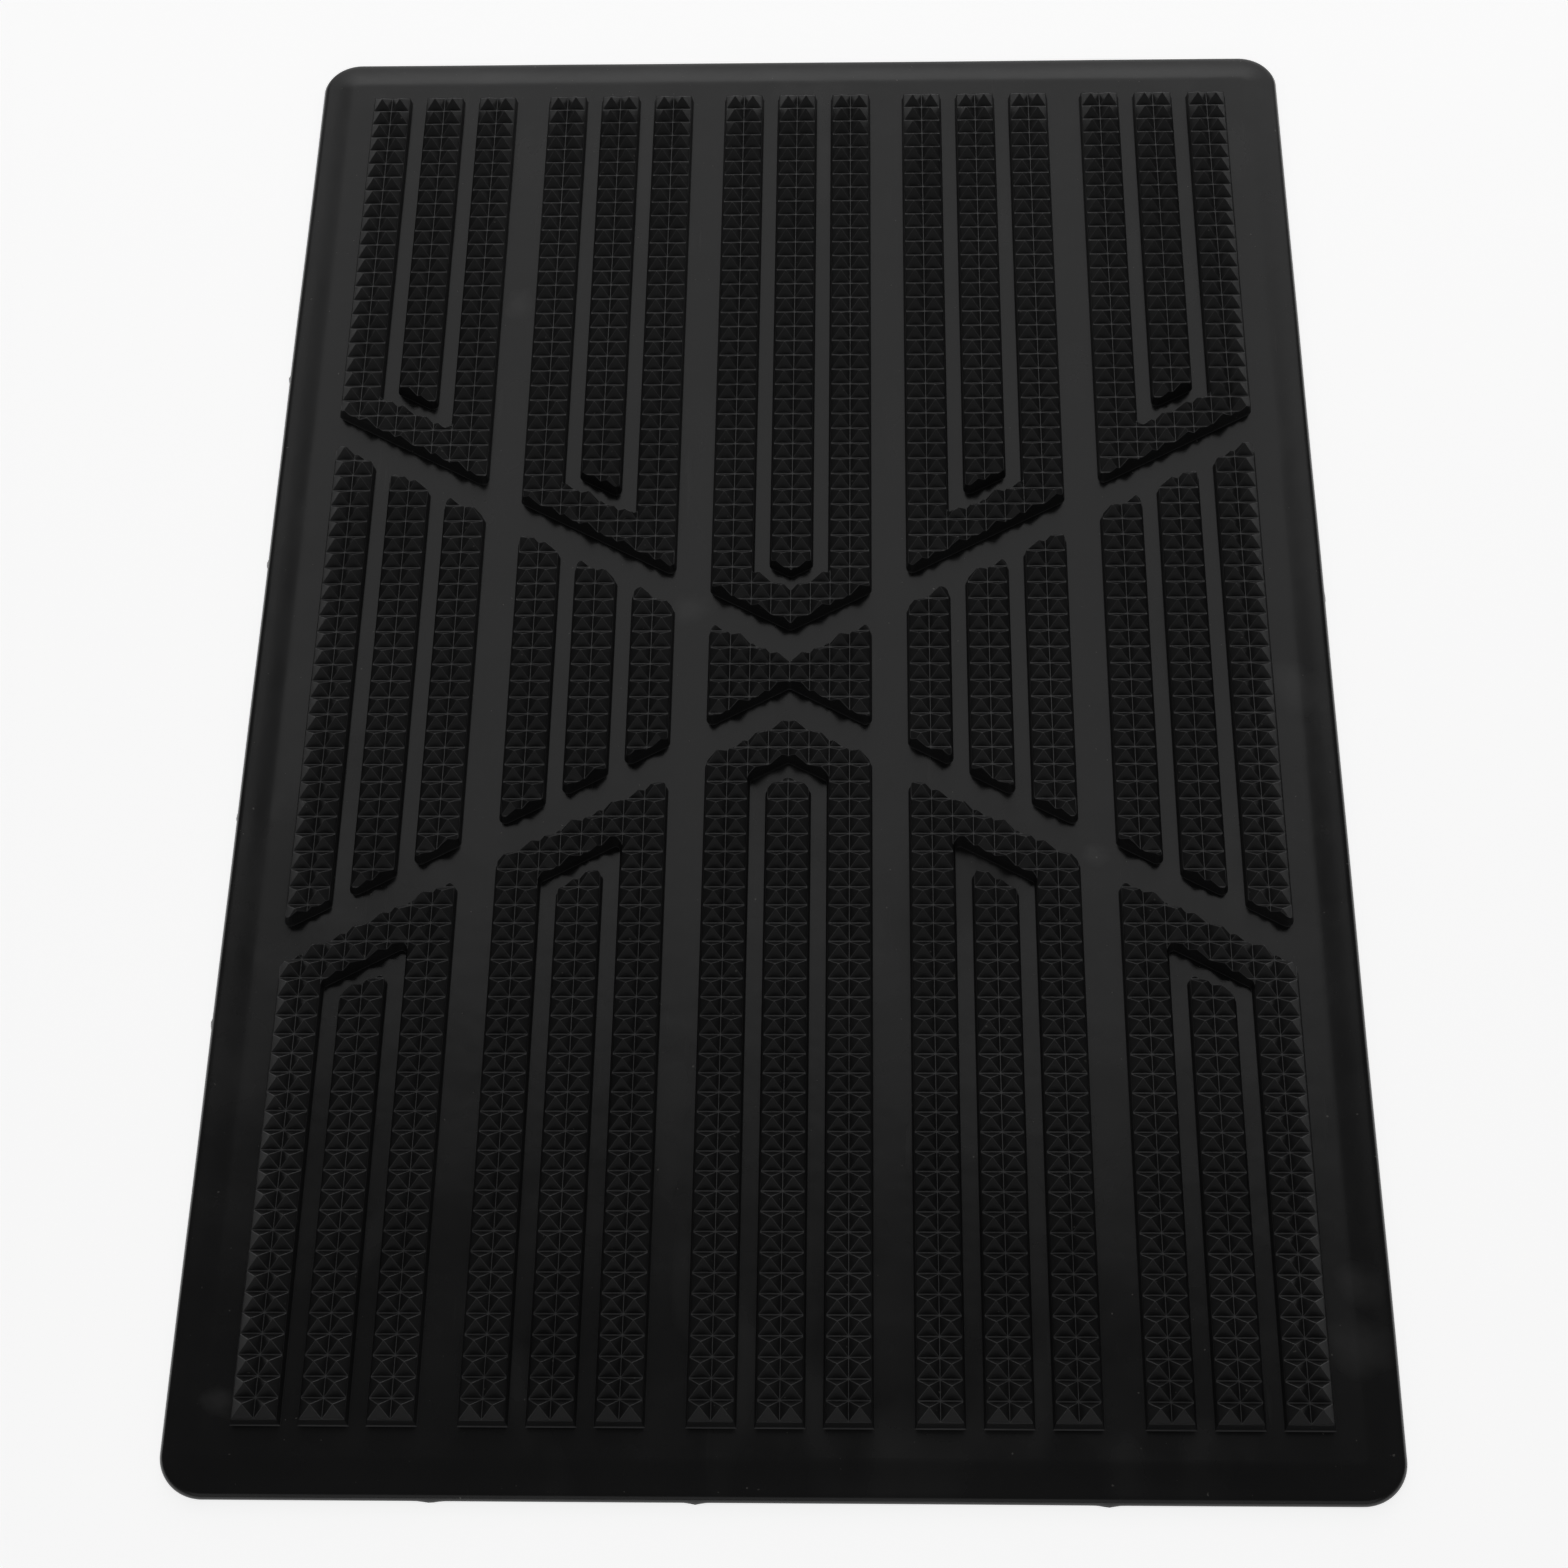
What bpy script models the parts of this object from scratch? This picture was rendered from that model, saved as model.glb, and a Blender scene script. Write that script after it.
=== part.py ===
"""Door mat of moulded black rubber, 45 x 70 cm: base sheet, sloping rim round it and 33 tread blocks.

The mat lies flat in the XY plane, long side along Y, underside on Z = 0, centred on the origin.
+Y is called far and -Y near. Units are metres.
"""

import math

import bmesh
import bpy
from mathutils import Matrix, Vector

# Overall
OVERALL_WIDTH = 0.450
OVERALL_LENGTH = 0.711
SHEET_THICKNESS = 0.0040
BODY_GAP = 0.0003  # between bodies that meet

# Rim, measured inwards from the outer edge and upwards from the floor: blunt outer edge, rounded
# lip, shallow ledge, then a slope up to the level of the sheet
RIM_WIDTH = 0.016
RIM_INNER_RADIUS = 0.001  # of the rim's inner line at a corner
RIM_EDGE_HEIGHT = 0.0017  # top of the upright outer edge
RIM_LIP_OFFSET = 0.0028  # where the rounded lip turns into the ledge
RIM_LIP_HEIGHT = 0.0029
RIM_LIP_STEPS = 4
RIM_LEDGE_OFFSET = 0.0062  # where the ledge turns into the slope
RIM_LEDGE_HEIGHT = 0.00305
RIM_SLOPE_MARGIN = 0.0018  # level strip between the slope's top and the sheet
CORNER_STEPS = 6

# Tread field: a grid of pyramid cells, two cells to a bar and one to the gap beside it
SIDE_BORDER = 0.0098  # bare strip between rim and treads, left and right
END_BORDER = 0.0117  # the same, near and far
GROUPS = 5
GROUP_CELLS = 8  # bar, gap, bar, gap, bar: 2 + 1 + 2 + 1 + 2
GROUP_GAP_CELLS = 2
WALL_HEIGHT = 0.0042  # sheet to the foot of the pyramids
WALL_DRAFT = 0.00064  # the wall's foot stands out this far
FOOT_STEP = 0.0004  # upright step at the foot of the wall
PYRAMID_HEIGHT = 0.00415
CORNER_ROUND = 0.0022  # plan radius of a block's foot, apart from its square ends
CREST_ROUND = 0.0002  # what is left of that radius at the pyramid tips
CORNER_ROUND_STEPS = 4

# Chevrons: every slanted edge is a line y = offset + |x| * CHEVRON_SLOPE, mirrored in Y
CHEVRON_SLOPE = math.tan(math.radians(30))
BOW_TIE_HALF_WAIST = 0.0047
CHANNEL_WIDTH = 0.0172  # square across the slanted channel
BAND_WIDTH = 0.0144  # square across the slanted band of a U block
INNER_CHANNEL_WIDTH = 0.0095  # between that band and the inner bar

# Finishes
SHEET_COLOUR = (0.012, 0.012, 0.0125)
TREAD_COLOUR = (0.018, 0.018, 0.0185)
SHEET_ROUGHNESS = 0.28
RIM_ROUGHNESS = 0.30
TREAD_ROUGHNESS = 0.40

# Derived sizes
CORNER_RADIUS = RIM_WIDTH + RIM_INNER_RADIUS
SIDE_MARGIN = RIM_WIDTH + SIDE_BORDER
END_MARGIN = RIM_WIDTH + END_BORDER
COLUMNS = GROUPS * GROUP_CELLS + (GROUPS - 1) * GROUP_GAP_CELLS
CELL_WIDTH = (OVERALL_WIDTH - 2 * SIDE_MARGIN) / COLUMNS
GROUP_PITCH = (GROUP_CELLS + GROUP_GAP_CELLS) * CELL_WIDTH
FIELD_END = OVERALL_LENGTH / 2 - END_MARGIN
SEAT = SHEET_THICKNESS + BODY_GAP  # underside of the blocks that stand on the sheet
SHEET_INSET = RIM_WIDTH + BODY_GAP  # the sheet lies inside the rim
SHEET_CORNER_RADIUS = RIM_INNER_RADIUS - BODY_GAP
CROWN_INSET = CORNER_ROUND - WALL_DRAFT - CREST_ROUND  # the outer pyramids, drawn as a chamfer
SLANT = math.hypot(1, CHEVRON_SLOPE)  # distance along Y for one unit square across
CHANNEL_OFFSET = BOW_TIE_HALF_WAIST + CHANNEL_WIDTH * SLANT
BAND_OFFSET = CHANNEL_OFFSET + BAND_WIDTH * SLANT
INNER_BAR_OFFSET = BAND_OFFSET + INNER_CHANNEL_WIDTH * SLANT
MIDDLE_GROUP = GROUPS // 2
BAR_SPANS = {"left": (-4, -2), "middle": (-1, 1), "right": (2, 4)}  # in cells
QUARTER_TURN = math.pi / 2


def clear_scene():
    for obj in list(bpy.data.objects):
        bpy.data.objects.remove(obj, do_unlink=True)


def rubber(name, colour, roughness):
    """A black rubber finish."""
    material = bpy.data.materials.new(name)
    material.use_nodes = True
    shader = material.node_tree.nodes["Principled BSDF"]
    shader.inputs["Base Color"].default_value = (*colour, 1)
    shader.inputs["Roughness"].default_value = roughness
    shader.inputs["Metallic"].default_value = 0.0
    return material


def add_object(name, bm, material, location):
    """Turns a bmesh drawn about the location into a named object of the mat."""
    mesh = bpy.data.meshes.new(name)
    bmesh.ops.recalc_face_normals(bm, faces=bm.faces)
    bm.to_mesh(mesh)
    bm.free()
    mesh.materials.append(material)
    obj = bpy.data.objects.new(name, mesh)
    obj.location = location
    mat_parts.objects.link(obj)
    obj.parent = mat_frame
    return obj


def outline_face(bm, outline):
    """One face with the given corners."""
    return bm.faces.new([bm.verts.new((x, y, 0)) for x, y in outline])


def raise_top(bm, inset, height):
    """Lifts the top face, drawing its outline in as it rises."""
    top = max(bm.faces, key=lambda face: face.calc_center_median().z)
    bmesh.ops.inset_region(bm, faces=[top], thickness=inset, depth=height, use_even_offset=True)


def extrude_all(bm, vector):
    """Draws the bmesh's one face along the vector into a closed solid."""
    drawn = bmesh.ops.extrude_face_region(bm, geom=bm.faces[:])["geom"]
    verts = [item for item in drawn if isinstance(item, bmesh.types.BMVert)]
    bmesh.ops.translate(bm, verts=verts, vec=vector)


def widened(outline, amount):
    """The counter-clockwise outline with each side moved outwards by the amount."""
    points = [Vector(point) for point in outline]
    moved = []
    for index, point in enumerate(points):
        before = (point - points[index - 1]).normalized()
        after = (points[(index + 1) % len(points)] - point).normalized()
        side = Vector((before.y, -before.x))
        next_side = Vector((after.y, -after.x))
        moved.append(point + (side + next_side) * amount / (1 + side.dot(next_side)))
    return moved


def rounded(outline):
    """The foot outline with its corners rounded, apart from the square ones at the field's ends."""
    points = []
    for index, point in enumerate(outline):
        before = (point - outline[index - 1]).normalized()
        after = (outline[(index + 1) % len(outline)] - point).normalized()
        turn = math.atan2(before.cross(after), before.dot(after))
        if abs(point.y) > FIELD_END:
            points.append(point)
            continue
        start = point - before * CORNER_ROUND * math.tan(abs(turn) / 2)
        centre = start + Vector((-before.y, before.x)) * math.copysign(CORNER_ROUND, turn)
        for step in range(CORNER_ROUND_STEPS + 1):
            swing = Matrix.Rotation(turn * step / CORNER_ROUND_STEPS, 2)
            points.append(centre + swing @ (start - centre))
    return points


def chevron(offset, x):
    return offset + abs(x) * CHEVRON_SLOPE


def chevron_edge(offset, start, end):
    """The points of a slanted edge, with its peak where it passes the mat's middle line."""
    xs = [start, end]
    if start * end < 0:
        xs.insert(1, 0.0)
    return [(x, chevron(offset, x)) for x in xs]


def group_centre(group):
    return (group - MIDDLE_GROUP) * GROUP_PITCH


def bar_sides(group, bar):
    """Left and right side of a bar's top."""
    return [group_centre(group) + cells * CELL_WIDTH for cells in BAR_SPANS[bar]]


def mirrored(outline):
    """The near half's outline from the far half's, still counter-clockwise."""
    return [(x, -y) for x, y in reversed(outline)]


def add_tread(name, outline, centre_x):
    """A tread block: drafted wall up to the pyramids, then their crown."""
    bm = bmesh.new()
    centre = Vector((centre_x, 0))
    outline_face(bm, [point - centre for point in rounded(widened(outline, WALL_DRAFT))])
    extrude_all(bm, (0, 0, FOOT_STEP))
    bmesh.ops.recalc_face_normals(bm, faces=bm.faces)
    raise_top(bm, WALL_DRAFT, WALL_HEIGHT - BODY_GAP - FOOT_STEP)
    raise_top(bm, CROWN_INSET, PYRAMID_HEIGHT)
    add_object(name, bm, tread_rubber, (centre_x, 0, SEAT))


def u_outline(group):
    """Far U block: two bars joined by a slanted band at their lower end."""
    left, inner_left = bar_sides(group, "left")
    inner_right, right = bar_sides(group, "right")
    outer = [(left, FIELD_END), *chevron_edge(CHANNEL_OFFSET, left, right), (right, FIELD_END)]
    inner = [(inner_left, FIELD_END), *chevron_edge(BAND_OFFSET, inner_left, inner_right)]
    return outer + [(inner_right, FIELD_END)] + inner[:0:-1] + inner[:1]


def inner_bar_outline(group):
    left, right = bar_sides(group, "middle")
    return [(left, FIELD_END), *chevron_edge(INNER_BAR_OFFSET, left, right), (right, FIELD_END)]


def between_chevrons(left, right):
    """A block with both ends on the inner chevrons."""
    far_edge = chevron_edge(BOW_TIE_HALF_WAIST, left, right)
    near_edge = [(x, -y) for x, y in far_edge]
    return near_edge + far_edge[::-1]


def add_treads():
    for group in range(GROUPS):
        centre = group_centre(group)
        number = group + 1
        for half, place in (("far", list), ("near", mirrored)):
            add_tread(f"{half}_u_block_{number}", place(u_outline(group)), centre)
            add_tread(f"{half}_inner_bar_{number}", place(inner_bar_outline(group)), centre)
        if group == MIDDLE_GROUP:
            left, right = bar_sides(group, "left")[0], bar_sides(group, "right")[1]
            add_tread("bow_tie_block", between_chevrons(left, right), centre)
            continue
        for bar in BAR_SPANS:
            left, right = bar_sides(group, bar)
            add_tread(f"middle_bar_{number}_{bar}", between_chevrons(left, right), (left + right) / 2)


def add_base_sheet():
    bm = bmesh.new()
    half_width = OVERALL_WIDTH / 2 - SHEET_INSET
    half_length = OVERALL_LENGTH / 2 - SHEET_INSET
    signs = ((-1, -1), (1, -1), (1, 1), (-1, 1))
    outline_face(bm, [(sx * half_width, sy * half_length) for sx, sy in signs])
    bmesh.ops.bevel(
        bm,
        geom=bm.verts[:],
        offset=SHEET_CORNER_RADIUS,
        segments=CORNER_STEPS,
        profile=0.5,
        affect="VERTICES",
    )
    extrude_all(bm, (0, 0, SHEET_THICKNESS))
    add_object("base_sheet", bm, sheet_rubber, (0, 0, 0))


def rim_profile(bm, turn):
    """The rim's cross-section, standing on the floor, outer edge at the turning radius along X."""
    profile = [(0, 0)]
    for step in range(RIM_LIP_STEPS + 1):
        angle = QUARTER_TURN * step / RIM_LIP_STEPS
        inwards = RIM_LIP_OFFSET * (1 - math.cos(angle))
        height = RIM_EDGE_HEIGHT + (RIM_LIP_HEIGHT - RIM_EDGE_HEIGHT) * math.sin(angle)
        profile.append((inwards, height))
    profile += [
        (RIM_LEDGE_OFFSET, RIM_LEDGE_HEIGHT),
        (RIM_WIDTH - RIM_SLOPE_MARGIN, SHEET_THICKNESS),
        (RIM_WIDTH, SHEET_THICKNESS),
        (RIM_WIDTH, 0),
    ]
    return bm.faces.new([bm.verts.new((turn - inwards, 0, height)) for inwards, height in profile])


def add_rim_run(name, length, angle, reach):
    """A straight run of the rim, its outer edge at the reach from the mat's centre."""
    bm = bmesh.new()
    rim_profile(bm, 0)
    bmesh.ops.translate(bm, verts=bm.verts, vec=(0, -length / 2, 0))
    extrude_all(bm, (0, length, 0))
    turn = Matrix.Rotation(angle, 4, "Z")
    rim = add_object(name, bm, rim_rubber, turn @ Vector((reach, 0, 0)))
    rim.rotation_euler.z = angle


def add_rim_corner(name, angle, centre):
    """A quarter turn of the rim about the corner's centre."""
    bm = bmesh.new()
    face = rim_profile(bm, CORNER_RADIUS)
    geom = [face, *face.verts, *face.edges]
    bmesh.ops.spin(
        bm,
        geom=geom,
        cent=(0, 0, 0),
        axis=(0, 0, 1),
        angle=QUARTER_TURN,
        steps=CORNER_STEPS,
    )
    corner = add_object(name, bm, rim_rubber, (*centre, 0))
    corner.rotation_euler.z = angle


def add_rim():
    half_width, half_length = OVERALL_WIDTH / 2, OVERALL_LENGTH / 2
    side_length = OVERALL_LENGTH - 2 * CORNER_RADIUS - 2 * BODY_GAP
    end_length = OVERALL_WIDTH - 2 * CORNER_RADIUS - 2 * BODY_GAP
    add_rim_run("rim_right", side_length, 0, half_width)
    add_rim_run("rim_far", end_length, QUARTER_TURN, half_length)
    add_rim_run("rim_left", side_length, math.pi, half_width)
    add_rim_run("rim_near", end_length, -QUARTER_TURN, half_length)
    x, y = half_width - CORNER_RADIUS, half_length - CORNER_RADIUS
    add_rim_corner("rim_corner_far_right", 0, (x, y))
    add_rim_corner("rim_corner_far_left", QUARTER_TURN, (-x, y))
    add_rim_corner("rim_corner_near_left", math.pi, (-x, -y))
    add_rim_corner("rim_corner_near_right", -QUARTER_TURN, (x, -y))


clear_scene()
mat_parts = bpy.data.collections.new("door_mat")
bpy.context.scene.collection.children.link(mat_parts)
mat_frame = bpy.data.objects.new("door_mat_frame", None)
mat_parts.objects.link(mat_frame)
sheet_rubber = rubber("sheet_rubber", SHEET_COLOUR, SHEET_ROUGHNESS)
rim_rubber = rubber("rim_rubber", SHEET_COLOUR, RIM_ROUGHNESS)
tread_rubber = rubber("tread_rubber", TREAD_COLOUR, TREAD_ROUGHNESS)

add_base_sheet()
add_rim()
add_treads()
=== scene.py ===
import math

import bmesh
import bpy
from mathutils import Matrix, Vector, noise


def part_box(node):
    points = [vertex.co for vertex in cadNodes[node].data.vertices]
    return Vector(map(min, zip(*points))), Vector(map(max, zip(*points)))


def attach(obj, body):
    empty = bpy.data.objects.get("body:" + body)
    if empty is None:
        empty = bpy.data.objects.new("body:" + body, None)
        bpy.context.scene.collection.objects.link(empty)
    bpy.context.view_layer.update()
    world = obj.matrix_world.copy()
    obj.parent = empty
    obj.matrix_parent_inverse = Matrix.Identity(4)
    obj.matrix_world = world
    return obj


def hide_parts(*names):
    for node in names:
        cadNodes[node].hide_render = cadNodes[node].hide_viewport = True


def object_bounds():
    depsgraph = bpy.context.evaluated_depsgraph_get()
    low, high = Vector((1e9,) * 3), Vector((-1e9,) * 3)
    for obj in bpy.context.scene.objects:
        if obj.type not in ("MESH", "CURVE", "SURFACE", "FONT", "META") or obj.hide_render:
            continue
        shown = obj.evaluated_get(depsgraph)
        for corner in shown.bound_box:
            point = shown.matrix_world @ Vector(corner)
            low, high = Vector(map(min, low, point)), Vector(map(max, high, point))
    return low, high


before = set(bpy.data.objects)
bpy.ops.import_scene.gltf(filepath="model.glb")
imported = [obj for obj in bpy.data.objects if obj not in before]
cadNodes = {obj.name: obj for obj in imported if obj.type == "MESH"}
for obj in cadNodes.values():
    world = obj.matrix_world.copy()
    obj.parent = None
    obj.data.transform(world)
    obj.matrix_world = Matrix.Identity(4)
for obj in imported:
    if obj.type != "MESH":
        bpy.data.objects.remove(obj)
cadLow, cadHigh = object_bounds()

# Door mat of moulded black rubber. X runs across it, +Y towards its far end, Z up, in metres.
scene = bpy.context.scene
scene.view_settings.view_transform = "Standard"
scene.view_settings.look = "None"


rubberLook = {
    "sheetDark": (0.0115, 0.0115, 0.0119),
    "sheetLight": (0.0160, 0.0160, 0.0164),
    "sheetRoughness": (0.17, 0.26),
    "treadDark": (0.0165, 0.0165, 0.0170),
    "treadLight": (0.0230, 0.0230, 0.0235),
    "treadRoughness": (0.32, 0.46),
    # paler rubber for the ridges, tips, valley strips, wall-top bevels and near-end fillets: a painted
    # highlight
    "wornDark": (0.042, 0.042, 0.043),
    "wornLight": (0.100, 0.100, 0.102),
    "wornRoughness": (0.28, 0.40),
    "rimDark": (0.0115, 0.0115, 0.0119),
    "rimLight": (0.0160, 0.0160, 0.0164),
    "rimRoughness": (0.18, 0.28),
    "haze": (0.026, 0.026, 0.026),
    "hazeRoughness": 0.16,
    "sheetSpecular": 0.50,
    "treadSpecular": 0.28,
    "wornSpecular": 0.55,
    "rimSpecular": 0.50,
    "dust": (0.30, 0.29, 0.27),
    "smear": (0.052, 0.052, 0.052),
}
# sizes of the patterns in the rubber: noises per metre, the part of each noise that shows, depths
patternShape = {
    "blotchScale": 14,
    "blotchSpan": (0.32, 0.68),
    "patchScale": 17,
    "patchStretch": (1.0, 0.55, 1.0),
    "patchTurn": 0.5,
    "patchSpan": (0.56, 0.68),
    "scuffStretch": (260, 14, 14),
    "scuffTurn": 0.35,
    "scuffSpan": (0.70, 0.75),
    "speckScale": 520,
    "speckSpan": (0.785, 0.82),
    "smudgeScale": 26,
    "smudgeSpan": (0.3, 0.7),
    "grainScale": 1500,
    "grainDepth": 0.0001,
    "waveScale": 24,
    "waveDepth": 0.002,
    "smearScale": 60,
    "smearWander": 0.016,
    "smearCore": 0.25,
    "smearStrength": 0.8,
}
# pale smears wiped onto the sheet and rim: middle, radius
smears = [
    ((0.2140, -0.2720, 0.0040), 0.011),
    ((0.2110, -0.2970, 0.0040), 0.013),
    ((0.2090, -0.0050, 0.0040), 0.014),
    ((0.1230, -0.0860, 0.0040), 0.007),
    ((0.0860, -0.2380, 0.0040), 0.006),
    ((-0.2040, -0.3200, 0.0040), 0.008),
    ((-0.0420, 0.0350, 0.0040), 0.010),
    ((-0.1240, 0.2050, 0.0040), 0.008),
]


def link(tree, fromSocket, toSocket):
    tree.links.new(fromSocket, toSocket)


def noiseNode(tree, coords, scale, detail, roughness=0.5):
    node = tree.nodes.new("ShaderNodeTexNoise")
    node.inputs["Scale"].default_value = scale
    node.inputs["Detail"].default_value = detail
    node.inputs["Roughness"].default_value = roughness
    link(tree, coords, node.inputs["Vector"])
    return node.outputs["Fac"]


def spread(tree, value, low, high, toLow=0.0, toHigh=1.0):
    # maps the part of a noise between low and high onto a new range
    node = tree.nodes.new("ShaderNodeMapRange")
    node.inputs["From Min"].default_value = low
    node.inputs["From Max"].default_value = high
    node.inputs["To Min"].default_value = toLow
    node.inputs["To Max"].default_value = toHigh
    link(tree, value, node.inputs["Value"])
    return node.outputs["Result"]


def mixColour(tree, amount, first, second):
    node = tree.nodes.new("ShaderNodeMix")
    node.data_type = "RGBA"
    link(tree, amount, node.inputs["Factor"])
    # 6 and 7 are the two colours, output 2 the mixed one
    for socket, colour in ((node.inputs[6], first), (node.inputs[7], second)):
        if isinstance(colour, tuple):
            socket.default_value = (*colour, 1)
        else:
            link(tree, colour, socket)
    return node.outputs[2]


def addValues(tree, first, second):
    node = tree.nodes.new("ShaderNodeMath")
    node.operation = "ADD"
    link(tree, first, node.inputs[0])
    link(tree, second, node.inputs[1])
    return node.outputs[0]


def stretched(tree, coords, scale, turn):
    node = tree.nodes.new("ShaderNodeMapping")
    node.inputs["Scale"].default_value = scale
    node.inputs["Rotation"].default_value = (0, 0, turn)
    link(tree, coords, node.inputs["Vector"])
    return node.outputs["Vector"]


def smearAmount(tree, coords):
    # how strongly the smears show at a place, with their outlines wandering
    shape = patternShape
    wander = tree.nodes.new("ShaderNodeTexNoise")
    wander.inputs["Scale"].default_value = shape["smearScale"]
    wander.inputs["Detail"].default_value = 3
    link(tree, coords, wander.inputs["Vector"])
    centred = tree.nodes.new("ShaderNodeVectorMath")
    centred.operation = "SUBTRACT"
    link(tree, wander.outputs["Color"], centred.inputs[0])
    centred.inputs[1].default_value = (0.5, 0.5, 0.5)
    moved = tree.nodes.new("ShaderNodeVectorMath")
    moved.operation = "MULTIPLY_ADD"
    link(tree, centred.outputs["Vector"], moved.inputs[0])
    moved.inputs[1].default_value = (shape["smearWander"],) * 3
    link(tree, coords, moved.inputs[2])
    total = None
    for middle, radius in smears:
        apart = tree.nodes.new("ShaderNodeVectorMath")
        apart.operation = "DISTANCE"
        link(tree, moved.outputs["Vector"], apart.inputs[0])
        apart.inputs[1].default_value = middle
        core = radius * shape["smearCore"]
        near = spread(tree, apart.outputs["Value"], radius, core, 0.0, shape["smearStrength"])
        total = near if total is None else addValues(tree, total, near)
    return total


def makeRubber(name, key, grain, waves, dustAmount, hazeAmount, smeared=False):
    material = bpy.data.materials.new(name)
    material.use_nodes = True
    tree = material.node_tree
    shader = tree.nodes["Principled BSDF"]
    coords = tree.nodes.new("ShaderNodeTexCoord").outputs["Object"]
    shape = patternShape

    blotches = spread(tree, noiseNode(tree, coords, shape["blotchScale"], 5, 0.6), *shape["blotchSpan"])
    body = mixColour(tree, blotches, rubberLook[key + "Dark"], rubberLook[key + "Light"])
    # wiped patches and short scuffs, a little paler and duller than the clean rubber
    patchCoords = stretched(tree, coords, shape["patchStretch"], shape["patchTurn"])
    patches = noiseNode(tree, patchCoords, shape["patchScale"], 3)
    haze = spread(tree, patches, *shape["patchSpan"], 0.0, hazeAmount)
    scuffs = noiseNode(tree, stretched(tree, coords, shape["scuffStretch"], shape["scuffTurn"]), 1, 2)
    marks = spread(tree, scuffs, *shape["scuffSpan"], 0.0, hazeAmount)
    hazed = mixColour(tree, addValues(tree, haze, marks), body, rubberLook["haze"])
    if smeared:
        hazed = mixColour(tree, smearAmount(tree, coords), hazed, rubberLook["smear"])
    speckNoise = noiseNode(tree, coords, shape["speckScale"], 1, 0.4)
    specks = spread(tree, speckNoise, *shape["speckSpan"], 0.0, dustAmount)
    colour = mixColour(tree, specks, hazed, rubberLook["dust"])
    link(tree, colour, shader.inputs["Base Color"])

    shader.inputs["Specular IOR Level"].default_value = rubberLook[key + "Specular"]
    low, high = rubberLook[key + "Roughness"]
    smudgeNoise = noiseNode(tree, coords, shape["smudgeScale"], 6, 0.65)
    smudges = spread(tree, smudgeNoise, *shape["smudgeSpan"], low, high)
    dulled = spread(tree, haze, 0.0, 1.0, 0.0, rubberLook["hazeRoughness"])
    link(tree, addValues(tree, smudges, dulled), shader.inputs["Roughness"])

    grainBump = tree.nodes.new("ShaderNodeBump")
    grainBump.inputs["Strength"].default_value = grain
    grainBump.inputs["Distance"].default_value = shape["grainDepth"]
    link(tree, noiseNode(tree, coords, shape["grainScale"], 3, 0.6), grainBump.inputs["Height"])
    waveBump = tree.nodes.new("ShaderNodeBump")
    waveBump.inputs["Strength"].default_value = waves
    waveBump.inputs["Distance"].default_value = shape["waveDepth"]
    link(tree, noiseNode(tree, coords, shape["waveScale"], 3), waveBump.inputs["Height"])
    link(tree, grainBump.outputs["Normal"], waveBump.inputs["Normal"])
    link(tree, waveBump.outputs["Normal"], shader.inputs["Normal"])
    return material


sheetRubber = makeRubber(
    "sheetRubber", "sheet", grain=0.15, waves=0.16, dustAmount=0.5, hazeAmount=0.8, smeared=True
)
treadRubber = makeRubber("treadRubber", "tread", grain=0.35, waves=0.0, dustAmount=0.35, hazeAmount=0.3)
# the paler rubber, painting the highlights that the ridges and edges catch
highlightRubber = makeRubber("wornEdgeRubber", "worn", grain=0.2, waves=0.0, dustAmount=0.3, hazeAmount=0.0)
rimRubber = makeRubber(
    "rimRubber", "rim", grain=0.15, waves=0.16, dustAmount=0.4, hazeAmount=0.5, smeared=True
)
print("rubber finishes made")


treadNames = sorted(name for name in cadNodes if "block" in name or "bar" in name)
rimNames = sorted(name for name in cadNodes if name.startswith("rim"))
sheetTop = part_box("base_sheet")[1].z

treadShape = {
    "columns": 48,
    "rows": 79,
    "wallDraft": 0.00064,
    "pyramidHeight": 0.00415,
    "crossValleyHalf": 0.00028,
    "lengthValleyHalf": 0.00013,
    "ridgeCut": 0.00016,
    "tipHalf": 0.00021,
    "lowestPyramid": 0.965,
    "seed": 7,
    "weld": 0.00001,
    "sideClearance": 0.00003,
    "edgeBevel": 0.00016,
    "footFillet": 0.0005,
    # which foot fillets get the painted glint: how near the near end they lie, and how far they face it
    "nearEndReach": 0.002,
    "nearFacing": 0.4,
    "buried": 0.0003,
    "capAbove": 0.001,
    "cutBelow": 0.002,
    "filletMidOut": 0.35,  # of the fillet
    "filletMidUp": 0.3,
    "cadWeld": 0.000005,
    "footTolerance": 0.00002,
    "cellSlack": 0.25,  # of a cell
    "wallNormal": 0.3,  # a wall's normal leans up less than this
    "topNormal": 0.5,  # and a pyramid's more than this
}

treadBoxes = [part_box(name) for name in treadNames]
inset = Vector((treadShape["wallDraft"], treadShape["wallDraft"]))
fieldLow = Vector([min(low[axis] for low, high in treadBoxes) for axis in range(2)]) + inset
fieldHigh = Vector([max(high[axis] for low, high in treadBoxes) for axis in range(2)]) - inset
cellWidth = (fieldHigh.x - fieldLow.x) / treadShape["columns"]
cellLength = (fieldHigh.y - fieldLow.y) / treadShape["rows"]
tipHeight = cadHigh.z
wallTop = tipHeight - treadShape["pyramidHeight"]
print(f"pyramid cell {cellWidth * 1000:.2f} x {cellLength * 1000:.2f} mm")


def cutRectangle(halfX, halfY, cut):
    # a rectangle's corners, each cut off, going round anticlockwise
    nearX, nearY = halfX - cut, halfY - cut
    return [
        (halfX, -nearY), (halfX, nearY), (nearX, halfY), (-nearX, halfY),
        (-halfX, nearY), (-halfX, -nearY), (-nearX, -halfY), (nearX, -halfY),
    ]


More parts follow.
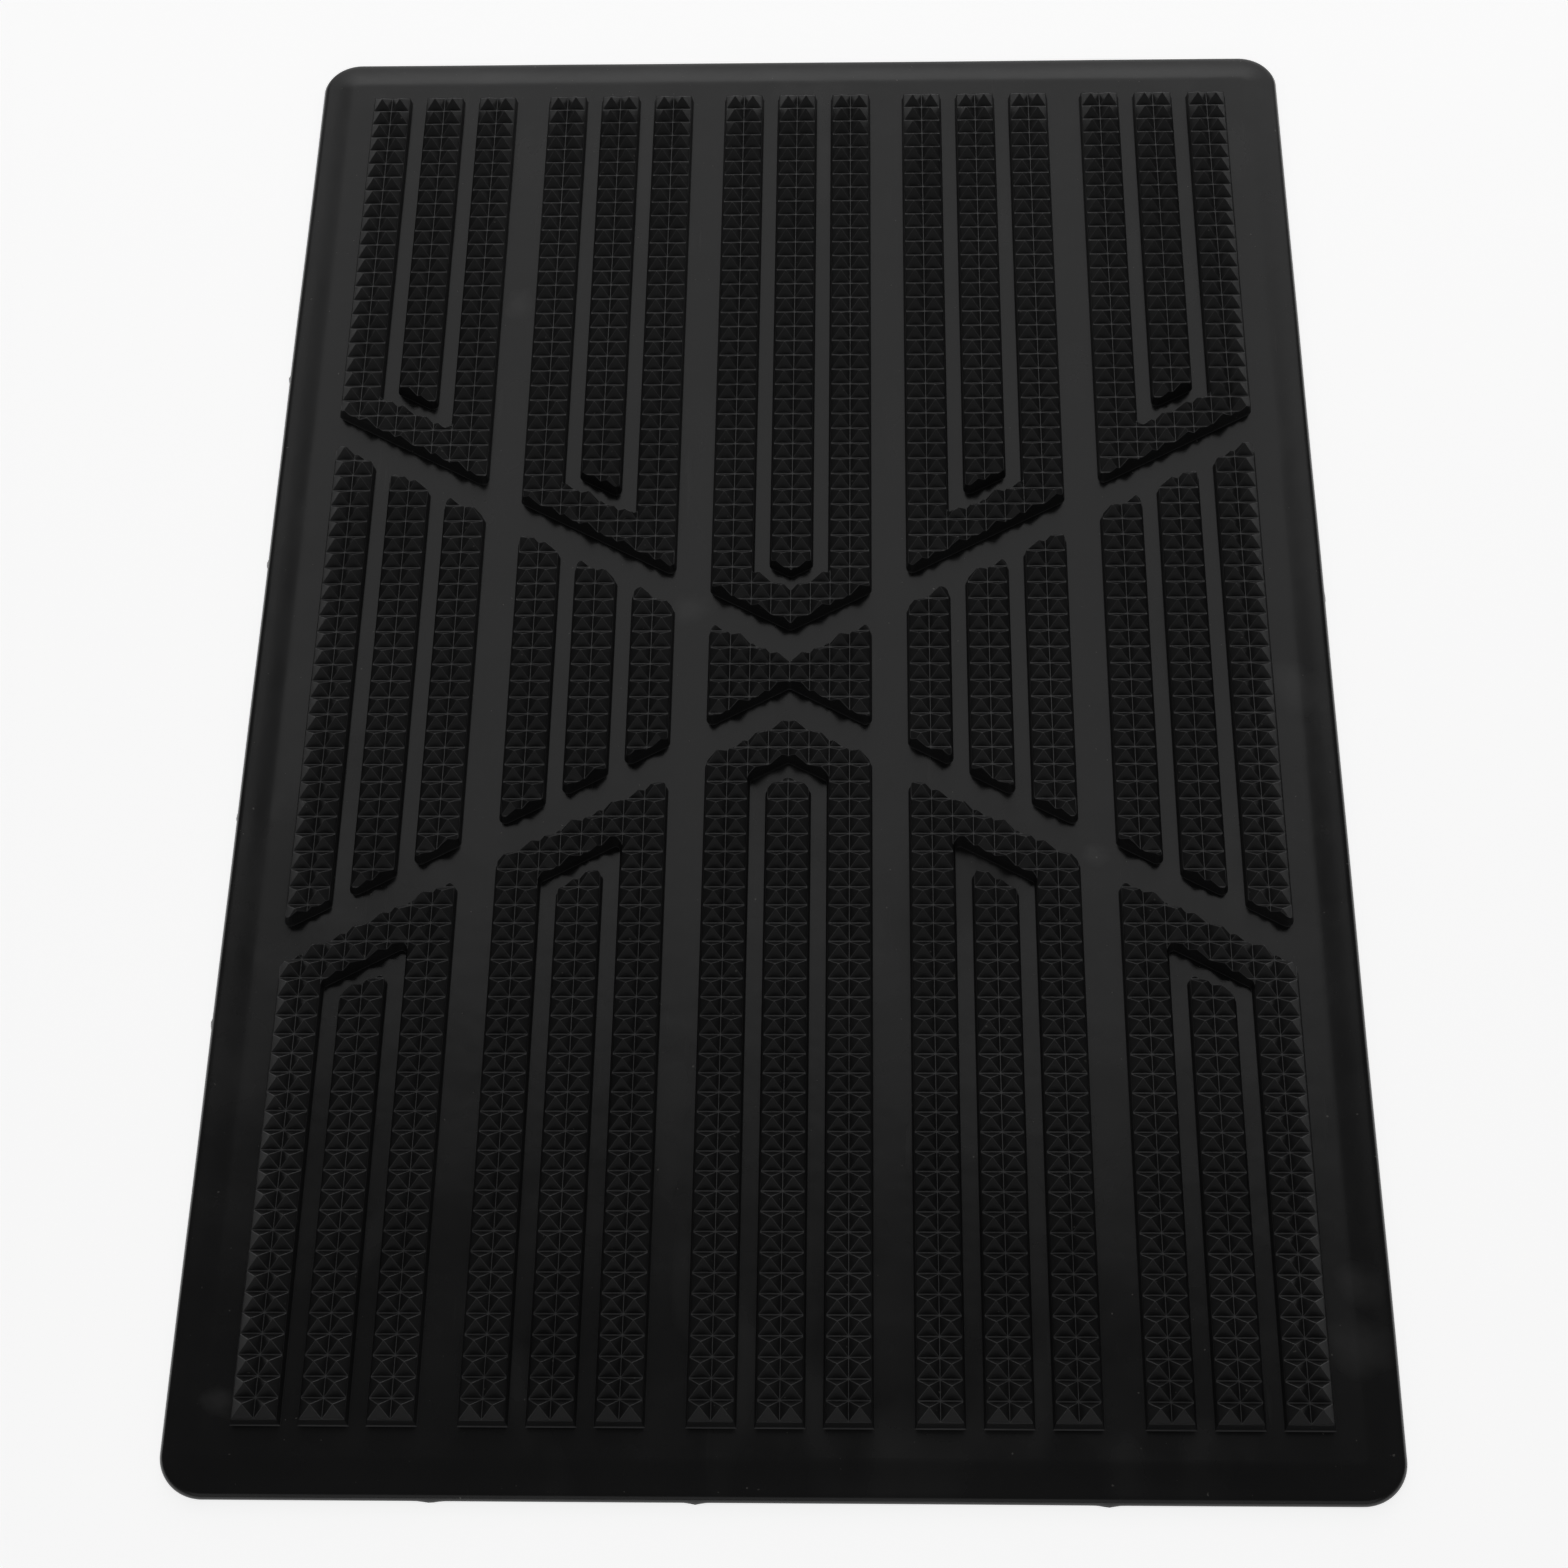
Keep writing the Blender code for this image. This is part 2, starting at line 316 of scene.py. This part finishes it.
def makePyramidCell():
    # one open cell, one unit square: flat valley strip, four faces, narrow ridges and a blunt tip
    bm = bmesh.new()
    shape = treadShape
    footX = 0.5 - shape["lengthValleyHalf"] / cellWidth
    footY = 0.5 - shape["crossValleyHalf"] / cellLength
    cut = shape["ridgeCut"] / cellWidth
    tip = shape["tipHalf"] / cellWidth
    height = shape["pyramidHeight"]
    square = ((0.5, -0.5), (0.5, 0.5), (-0.5, 0.5), (-0.5, -0.5))
    corners = [bm.verts.new((x, y, 0)) for x, y in square]
    foot = [bm.verts.new((x, y, 0)) for x, y in cutRectangle(footX, footY, cut)]
    top = [bm.verts.new((x, y, height)) for x, y in cutRectangle(tip, tip, cut)]
    # the valley strips, ridge chamfers and blunt tip take the paler rubber, a painted highlight; the
    # four main faces keep the plain rubber
    worn = []
    for side in range(4):
        a, b, c = 2 * side, 2 * side + 1, (2 * side + 2) % 8
        here, onward = corners[side], corners[(side + 1) % 4]
        worn.append(bm.faces.new((here, onward, foot[b], foot[a])))
        worn.append(bm.faces.new((onward, foot[c], foot[b])))
        worn.append(bm.faces.new((foot[b], foot[c], top[c], top[b])))
        bm.faces.new((foot[a], foot[b], top[b], top[a]))
    worn.append(bm.faces.new(top))
    for face in worn:
        face.material_index = 1
    bmesh.ops.recalc_face_normals(bm, faces=bm.faces)
    if sum(face.normal.z for face in bm.faces) < 0:
        bmesh.ops.reverse_faces(bm, faces=bm.faces)
    mesh = bpy.data.meshes.new("pyramidCell")
    bm.to_mesh(mesh)
    bm.free()
    mesh.materials.append(treadRubber)
    mesh.materials.append(highlightRubber)
    cell = bpy.data.objects.new("pyramidCell", mesh)
    scene.collection.objects.link(cell)
    return cell


def addInput(tree, name, kind):
    return tree.interface.new_socket(name, in_out="INPUT", socket_type=kind).identifier


def makeTreadNodes():
    tree = bpy.data.node_groups.new("pyramidTreadNodes", "GeometryNodeTree")
    sockets = {
        "Block": addInput(tree, "Block", "NodeSocketGeometry"),
        "Cell": addInput(tree, "Cell", "NodeSocketObject"),
        "Cell Size": addInput(tree, "Cell Size", "NodeSocketVector"),
        "Columns": addInput(tree, "Columns", "NodeSocketInt"),
        "Rows": addInput(tree, "Rows", "NodeSocketInt"),
        "Centre": addInput(tree, "Centre", "NodeSocketVector"),
        "Depth": addInput(tree, "Depth", "NodeSocketFloat"),
        "Lowest Pyramid": addInput(tree, "Lowest Pyramid", "NodeSocketFloat"),
        "Weld": addInput(tree, "Weld", "NodeSocketFloat"),
        "Seed": addInput(tree, "Seed", "NodeSocketInt"),
        "Rubber": addInput(tree, "Rubber", "NodeSocketMaterial"),
        "Worn Rubber": addInput(tree, "Worn Rubber", "NodeSocketMaterial"),
    }
    tree.interface.new_socket("Tread", in_out="OUTPUT", socket_type="NodeSocketGeometry")
    nodes = tree.nodes
    source = nodes.new("NodeGroupInput").outputs
    result = nodes.new("NodeGroupOutput")

    def calculated(operation, first, second):
        node = nodes.new("ShaderNodeMath")
        node.operation = operation
        for socket, value in zip(node.inputs, (first, second)):
            if isinstance(value, (int, float)):
                socket.default_value = value
            else:
                link(tree, value, socket)
        return node.outputs[0]

    size = nodes.new("ShaderNodeSeparateXYZ")
    link(tree, source["Cell Size"], size.inputs[0])

    def cellGrid():
        grid = nodes.new("GeometryNodeMeshGrid")
        for axis, count in (("X", source["Columns"]), ("Y", source["Rows"])):
            reach = calculated("MULTIPLY", size.outputs[axis], count)
            link(tree, reach, grid.inputs["Size " + axis])
            link(tree, calculated("ADD", count, 1), grid.inputs["Vertices " + axis])
        return grid.outputs["Mesh"]

    def merged(geometry):
        node = nodes.new("GeometryNodeMergeByDistance")
        link(tree, source["Weld"], node.inputs["Distance"])
        link(tree, geometry, node.inputs["Geometry"])
        return node.outputs["Geometry"]

    points = nodes.new("GeometryNodeMeshToPoints")
    points.mode = "FACES"
    link(tree, cellGrid(), points.inputs["Mesh"])
    cell = nodes.new("GeometryNodeObjectInfo")
    link(tree, source["Cell"], cell.inputs["Object"])
    copies = nodes.new("GeometryNodeInstanceOnPoints")
    link(tree, points.outputs["Points"], copies.inputs["Points"])
    link(tree, cell.outputs["Geometry"], copies.inputs["Instance"])
    wear = nodes.new("FunctionNodeRandomValue")
    wear.data_type = "FLOAT"
    link(tree, source["Lowest Pyramid"], wear.inputs[2])
    wear.inputs[3].default_value = 1.0
    link(tree, source["Seed"], wear.inputs["Seed"])
    cellScale = nodes.new("ShaderNodeCombineXYZ")
    link(tree, size.outputs["X"], cellScale.inputs["X"])
    link(tree, size.outputs["Y"], cellScale.inputs["Y"])
    link(tree, wear.outputs[1], cellScale.inputs["Z"])
    link(tree, cellScale.outputs["Vector"], copies.inputs["Scale"])
    real = nodes.new("GeometryNodeRealizeInstances")
    link(tree, copies.outputs["Instances"], real.inputs["Geometry"])
    topSheet = merged(real.outputs["Geometry"])

    neighbours = nodes.new("GeometryNodeInputMeshEdgeNeighbors")
    rimEdge = nodes.new("FunctionNodeCompare")
    rimEdge.data_type = "INT"
    rimEdge.operation = "EQUAL"
    link(tree, neighbours.outputs["Face Count"], rimEdge.inputs[2])
    rimEdge.inputs[3].default_value = 1
    down = nodes.new("ShaderNodeCombineXYZ")
    link(tree, calculated("MULTIPLY", source["Depth"], -1), down.inputs["Z"])
    walls = nodes.new("GeometryNodeExtrudeMesh")
    walls.mode = "EDGES"
    link(tree, topSheet, walls.inputs["Mesh"])
    link(tree, rimEdge.outputs["Result"], walls.inputs["Selection"])
    link(tree, down.outputs["Vector"], walls.inputs["Offset"])
    walls.inputs["Offset Scale"].default_value = 1.0

    lower = nodes.new("GeometryNodeTransform")
    link(tree, cellGrid(), lower.inputs["Geometry"])
    link(tree, down.outputs["Vector"], lower.inputs["Translation"])
    flip = nodes.new("GeometryNodeFlipFaces")
    link(tree, lower.outputs["Geometry"], flip.inputs["Mesh"])
    join = nodes.new("GeometryNodeJoinGeometry")
    link(tree, flip.outputs["Mesh"], join.inputs["Geometry"])
    link(tree, walls.outputs["Mesh"], join.inputs["Geometry"])
    place = nodes.new("GeometryNodeTransform")
    link(tree, merged(join.outputs["Geometry"]), place.inputs["Geometry"])
    link(tree, source["Centre"], place.inputs["Translation"])

    cut = nodes.new("GeometryNodeMeshBoolean")
    cut.operation = "INTERSECT"
    cut.solver = "EXACT"
    link(tree, source["Block"], cut.inputs["Mesh 2"])
    link(tree, place.outputs["Geometry"], cut.inputs["Mesh 2"])
    last = nodes.new("GeometryNodeRealizeInstances")
    link(tree, cut.outputs["Mesh"], last.inputs["Geometry"])
    # faces on the painted highlight rubber keep it, all other faces get the plain tread rubber
    highlightFaces = nodes.new("GeometryNodeMaterialSelection")
    link(tree, source["Worn Rubber"], highlightFaces.inputs["Material"])
    plainFaces = nodes.new("FunctionNodeBooleanMath")
    plainFaces.operation = "NOT"
    link(tree, highlightFaces.outputs["Selection"], plainFaces.inputs[0])
    painted = nodes.new("GeometryNodeSetMaterial")
    link(tree, last.outputs["Geometry"], painted.inputs["Geometry"])
    link(tree, plainFaces.outputs["Boolean"], painted.inputs["Selection"])
    link(tree, source["Rubber"], painted.inputs["Material"])
    link(tree, painted.outputs["Geometry"], result.inputs["Tread"])
    return tree, sockets


def footLoop(node):
    # the block's foot outline, anticlockwise, from its CAD solid
    bm = bmesh.new()
    bm.from_mesh(cadNodes[node].data)
    bmesh.ops.remove_doubles(bm, verts=bm.verts, dist=treadShape["cadWeld"])
    floor = min(vert.co.z for vert in bm.verts) + treadShape["footTolerance"]
    underside = [face for face in bm.faces if all(vert.co.z < floor for vert in face.verts)]
    inside = set(underside)
    onward = {}
    for face in underside:
        for loop in face.loops:
            if sum(other in inside for other in loop.edge.link_faces) == 1:
                onward[loop.vert.index] = loop.link_loop_next.vert.index
    bm.verts.ensure_lookup_table()
    start = next(iter(onward))
    points = []
    index = start
    while True:
        points.append(bm.verts[index].co.to_2d())
        index = onward[index]
        if index == start:
            break
    bm.free()
    area = sum(points[i - 1].cross(points[i]) for i in range(len(points)))
    return points if area > 0 else points[::-1]


def widened(points, amount):
    # the outline with each side moved outwards by the amount
    moved = []
    for index, point in enumerate(points):
        before = (point - points[index - 1]).normalized()
        after = (points[(index + 1) % len(points)] - point).normalized()
        side = Vector((before.y, -before.x))
        nextSide = Vector((after.y, -after.x))
        moved.append(point + (side + nextSide) * amount / (1 + side.dot(nextSide)))
    return moved


def loft(bm, rings):
    # skins rings of points and caps both ends
    rows = [[bm.verts.new(point) for point in ring] for ring in rings]
    count = len(rows[0])
    for low, high in zip(rows, rows[1:]):
        for i in range(count):
            j = (i + 1) % count
            bm.faces.new((low[i], low[j], high[j], high[i]))
    bm.faces.new(rows[0][::-1])
    bm.faces.new(rows[-1])


def blockPrism(node):
    # drafted wall with a small fillet at its foot, running on above the pyramid tips
    shape = treadShape
    foot = footLoop(node)
    fillet = shape["footFillet"]
    profile = [
        (fillet, sheetTop - shape["buried"]),
        (fillet, sheetTop),
        (fillet * shape["filletMidOut"], sheetTop + fillet * shape["filletMidUp"]),
        (0.0, sheetTop + fillet),
        (shape["sideClearance"] - shape["wallDraft"], wallTop),
        (shape["sideClearance"] - shape["wallDraft"], tipHeight + shape["capAbove"]),
    ]
    bm = bmesh.new()
    loft(bm, [[(p.x, p.y, height) for p in widened(foot, out)] for out, height in profile])
    bmesh.ops.recalc_face_normals(bm, faces=bm.faces)
    # the fillets at the near ends take the paler rubber, a painted glint
    lowest, highest = sheetTop - shape["buried"] / 2, sheetTop + fillet
    nearEnd = fieldLow.y + shape["nearEndReach"]
    for face in bm.faces:
        middle = face.calc_center_median()
        onFillet = lowest < middle.z < highest
        if onFillet and middle.y < nearEnd and face.normal.y < -shape["nearFacing"]:
            face.material_index = 1
    mesh = bpy.data.meshes.new(node)
    bm.to_mesh(mesh)
    bm.free()
    mesh.materials.append(treadRubber)
    mesh.materials.append(highlightRubber)
    return mesh


def cellRange(low, high, origin, size):
    # first and last cell line that clear the block by one cell
    slack = treadShape["cellSlack"]
    first = math.floor((low - origin) / size - slack) - 1
    last = math.ceil((high - origin) / size + slack) + 1
    return first, last


def softenTopEdges(mesh):
    # blunts the line where the wall meets the pyramids, with the bevel painted pale as a highlight
    shape = treadShape
    bm = bmesh.new()
    bm.from_mesh(mesh)
    edges = []
    for edge in bm.edges:
        if len(edge.link_faces) == 2:
            lower, upper = sorted(face.normal.z for face in edge.link_faces)
            if abs(lower) < shape["wallNormal"] and upper > shape["topNormal"]:
                edges.append(edge)
    bmesh.ops.bevel(
        bm,
        geom=edges,
        offset=shape["edgeBevel"],
        offset_type="OFFSET",
        segments=1,
        profile=0.5,
        affect="EDGES",
        clamp_overlap=False,
        material=mesh.materials.find(highlightRubber.name),
    )
    bm.to_mesh(mesh)
    bm.free()


def plainName(node):
    # a CAD node's name in camelCase
    first, *rest = node.split("_")
    return first + "".join(word.upper() if word == "u" else word.capitalize() for word in rest)


def makeTread(node, tree, sockets, cell):
    block = bpy.data.objects.new(plainName(node), blockPrism(node))
    scene.collection.objects.link(block)
    shape = treadShape
    low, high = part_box(node)
    firstColumn, lastColumn = cellRange(low.x, high.x, fieldLow.x, cellWidth)
    firstRow, lastRow = cellRange(low.y, high.y, fieldLow.y, cellLength)
    centre = (
        fieldLow.x + (firstColumn + lastColumn) / 2 * cellWidth,
        fieldLow.y + (firstRow + lastRow) / 2 * cellLength,
        wallTop,
    )
    pyramids = block.modifiers.new("pyramids", "NODES")
    pyramids.node_group = tree
    pyramids[sockets["Cell"]] = cell
    pyramids[sockets["Cell Size"]] = (cellWidth, cellLength, 1.0)
    pyramids[sockets["Columns"]] = lastColumn - firstColumn
    pyramids[sockets["Rows"]] = lastRow - firstRow
    pyramids[sockets["Centre"]] = centre
    pyramids[sockets["Depth"]] = wallTop - sheetTop + shape["cutBelow"]
    pyramids[sockets["Lowest Pyramid"]] = shape["lowestPyramid"]
    pyramids[sockets["Weld"]] = shape["weld"]
    pyramids[sockets["Seed"]] = shape["seed"] + treadNames.index(node)
    pyramids[sockets["Rubber"]] = treadRubber
    pyramids[sockets["Worn Rubber"]] = highlightRubber
    graph = bpy.context.evaluated_depsgraph_get()
    mesh = bpy.data.meshes.new_from_object(block.evaluated_get(graph))
    block.modifiers.remove(pyramids)
    block.data = mesh
    softenTopEdges(mesh)
    for polygon in mesh.polygons:
        polygon.use_smooth = False
    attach(block, "root")
    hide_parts(node)
    return block


pyramidCell = makePyramidCell()
treadTree, treadSockets = makeTreadNodes()
treads = [makeTread(node, treadTree, treadSockets, pyramidCell) for node in treadNames]
bpy.data.objects.remove(pyramidCell, do_unlink=True)
faceTotal = sum(len(tread.data.polygons) for tread in treads)
print(f"{len(treads)} tread blocks, {faceTotal} faces")


matBodyShape = {
    "cornerRadius": 0.017,
    "cornerSteps": 24,
    "sideStep": 0.002,
    "rimWidth": 0.016,
    "unevenHeight": 0.00010,
    "unevenOutline": 0.00025,
    "wobble": (9, 3.1),  # noise scale and layer of the outline
    "ripple": (22, 7.7),  # and of the height
    "nubTop": 0.0010,
}
# the rim's section: distance in from the outer edge, and height
rimSection = [
    (0.0006, 0.00000), (0.0001, 0.00012), (0.0000, 0.00030), (0.0000, 0.00130), (0.0004, 0.00190),
    (0.0009, 0.00260), (0.0014, 0.00288), (0.0020, 0.00300), (0.0030, 0.00306), (0.0045, 0.00313),
    (0.0060, 0.00322), (0.0075, 0.00333), (0.0095, 0.00351), (0.0115, 0.00371), (0.0133, 0.00389),
    (0.0141, 0.00395), (0.0149, 0.00399), (0.0160, 0.00400),
]
# stubs of moulding flash on the outline: place, half length, how far they stand out
flashNubs = [
    (Vector((-0.2250, 0.1640)), 0.0014, 0.0011),
    (Vector((-0.2250, 0.0619)), 0.0018, 0.0009),
    (Vector((-0.2250, -0.0660)), 0.0012, 0.0010),
    (Vector((-0.2250, -0.1615)), 0.0020, 0.0008),
    (Vector((-0.1255, -0.3555)), 0.0030, 0.0006),
    (Vector((-0.0300, -0.3555)), 0.0022, 0.0007),
    (Vector((0.1178, -0.3555)), 0.0026, 0.0007),
    (Vector((0.2250, 0.0420)), 0.0016, 0.0006),
]


def outlineStations():
    # points round the mat's outline, anticlockwise, each with its outward direction
    radius = matBodyShape["cornerRadius"]
    left, near = cadLow.x + radius, cadLow.y + radius
    right, far = cadHigh.x - radius, cadHigh.y - radius
    stations = []
    corners = (
        (Vector((right, far)), 0),
        (Vector((left, far)), 90),
        (Vector((left, near)), 180),
        (Vector((right, near)), 270),
    )
    for index, (centre, start) in enumerate(corners):
        arc = []
        for step in range(matBodyShape["cornerSteps"] + 1):
            angle = math.radians(start + 90 * step / matBodyShape["cornerSteps"])
            out = Vector((math.cos(angle), math.sin(angle)))
            arc.append((centre + out * radius, out))
        stations.extend(arc)
        nextCentre, _ = corners[(index + 1) % 4]
        out = arc[-1][1]
        begin = arc[-1][0]
        end = nextCentre + out * radius
        pieces = round((end - begin).length / matBodyShape["sideStep"])
        for piece in range(1, pieces):
            stations.append((begin.lerp(end, piece / pieces), out))
    return stations


def nubReach(point):
    # how far the flash stands out at a point of the outline
    return sum(
        reach * math.exp(-(((point - place).length / halfLength) ** 2))
        for place, halfLength, reach in flashNubs
    )


def unevenness(point, pattern):
    scale, layer = pattern
    return noise.noise(Vector((point.x * scale, point.y * scale, layer)))


def makeMatBody():
    shape = matBodyShape
    stations = outlineStations()
    rings = []
    for inwards, height in rimSection:
        ring = []
        outward = 1 - inwards / shape["rimWidth"]
        for point, out in stations:
            edge = outward * shape["unevenOutline"] * unevenness(point, shape["wobble"])
            if height < shape["nubTop"]:
                edge += nubReach(point)
            ripple = unevenness(point, shape["ripple"])
            lift = outward * shape["unevenHeight"] * ripple * min(1.0, height / shape["nubTop"])
            place = point - out * (inwards - edge)
            ring.append((place.x, place.y, height + lift))
        rings.append(ring)
    bm = bmesh.new()
    loft(bm, rings)
    bmesh.ops.recalc_face_normals(bm, faces=bm.faces)
    for face in bm.faces:
        onRim = len(face.verts) == 4
        face.smooth = onRim
        face.material_index = int(onRim)
    mesh = bpy.data.meshes.new("matBody")
    bm.to_mesh(mesh)
    bm.free()
    mesh.materials.append(sheetRubber)
    mesh.materials.append(rimRubber)
    body = bpy.data.objects.new("matBody", mesh)
    scene.collection.objects.link(body)
    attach(body, "root")
    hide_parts("base_sheet", *rimNames)
    return body


matBody = makeMatBody()
print("sheet and rim made")


studio = {
    "floorColour": (0.60, 0.60, 0.60),
    "floorGlow": 0.80,
    "floorSize": 60.0,
    "floorDrop": 0.0002,
    "floorRoughness": 0.9,
    "skyRise": ((0.0, 0.22), (0.19, 0.20), (0.28, 0.12), (0.45, 0.07), (0.90, 0.07)),
    "panelPlace": (0.06, 1.580, 1.17),
    "panelTarget": (0.04, 0.47, 0.0),
    "panelRoll": -9.0,
    "panelSize": (1.6, 2.23),
    "panelGlow": 0.52,
    "wallPlace": (0.0, 2.60, 0.875),
    "wallTarget": (0.0, 0.0, 0.875),
    "wallRoll": 0.0,
    "wallSize": (4.6, 1.75),
    "wallGlow": 0.55,
    "fillPlace": (0.0, -1.80, 1.25),
    "fillTarget": (0.0, 0.0, 0.0),
    "fillRoll": 0.0,
    "fillSize": (2.6, 1.80),
    "fillGlow": 0.30,
    "focal": 3221.3,
    "imageSide": 1568.0,
    "sensor": 36.0,
    "tilt": (-32.401, 1.962, -0.066),
    "place": (0.0156, -0.0423, 1.3442),
    "shiftX": 0.02,
}


def makeFloor():
    bpy.ops.mesh.primitive_plane_add(size=studio["floorSize"], location=(0, 0, -studio["floorDrop"]))
    floor = bpy.context.object
    floor.name = "studioFloor"
    material = bpy.data.materials.new("studioFloorPaint")
    material.use_nodes = True
    shader = material.node_tree.nodes["Principled BSDF"]
    shader.inputs["Base Color"].default_value = (*studio["floorColour"], 1)
    shader.inputs["Roughness"].default_value = studio["floorRoughness"]
    shader.inputs["Emission Color"].default_value = (1, 1, 1, 1)
    shader.inputs["Emission Strength"].default_value = studio["floorGlow"]
    floor.data.materials.append(material)


def makeLight(name, place, target, size, glow, roll):
    # a plain panel of even brightness, out of the camera's sight
    data = bpy.data.lights.new(name, "AREA")
    data.shape = "RECTANGLE"
    data.size, data.size_y = size
    data.energy = glow * math.pi * size[0] * size[1]
    lamp = bpy.data.objects.new(name, data)
    facing = (Vector(target) - Vector(place)).to_track_quat("-Z", "Y").to_matrix()
    turned = facing @ Matrix.Rotation(math.radians(roll), 3, "Z")
    lamp.matrix_world = Matrix.Translation(place) @ turned.to_4x4()
    lamp.visible_camera = False
    scene.collection.objects.link(lamp)


def makeWorld():
    # pale round the horizon, darker overhead
    world = bpy.data.worlds.new("studioWorld")
    world.use_nodes = True
    tree = world.node_tree
    direction = tree.nodes.new("ShaderNodeTexCoord").outputs["Generated"]
    split = tree.nodes.new("ShaderNodeSeparateXYZ")
    link(tree, direction, split.inputs[0])
    ramp = tree.nodes.new("ShaderNodeValToRGB")
    elements = ramp.color_ramp.elements
    while len(elements) < len(studio["skyRise"]):
        elements.new(0.5)
    for element, (height, level) in zip(elements, studio["skyRise"]):
        element.position = height
        element.color = (level, level, level, 1)
    link(tree, split.outputs["Z"], ramp.inputs["Fac"])
    link(tree, ramp.outputs["Color"], tree.nodes["Background"].inputs["Color"])
    scene.world = world


def makeCamera():
    turnX, turnY, turnZ = (
        Matrix.Rotation(math.radians(angle), 3, axis) for angle, axis in zip(studio["tilt"], "XYZ")
    )
    flipped = Matrix.Diagonal((1, -1, -1))
    toCamera = turnZ @ turnY @ turnX @ flipped
    back = toCamera.transposed()
    data = bpy.data.cameras.new("studioCamera")
    data.sensor_width = studio["sensor"]
    data.lens = studio["focal"] / studio["imageSide"] * studio["sensor"]
    data.shift_x = studio["shiftX"]
    camera = bpy.data.objects.new("studioCamera", data)
    axes = Matrix((back.col[0], -back.col[1], -back.col[2])).transposed()
    camera.matrix_world = Matrix.Translation(-(back @ Vector(studio["place"]))) @ axes.to_4x4()
    scene.collection.objects.link(camera)
    scene.camera = camera


makeFloor()
makeWorld()
for name in ("panel", "wall", "fill"):
    settings = (studio[name + part] for part in ("Place", "Target", "Size", "Glow", "Roll"))
    makeLight(name + "Light", *settings)
makeCamera()
print("studio made")
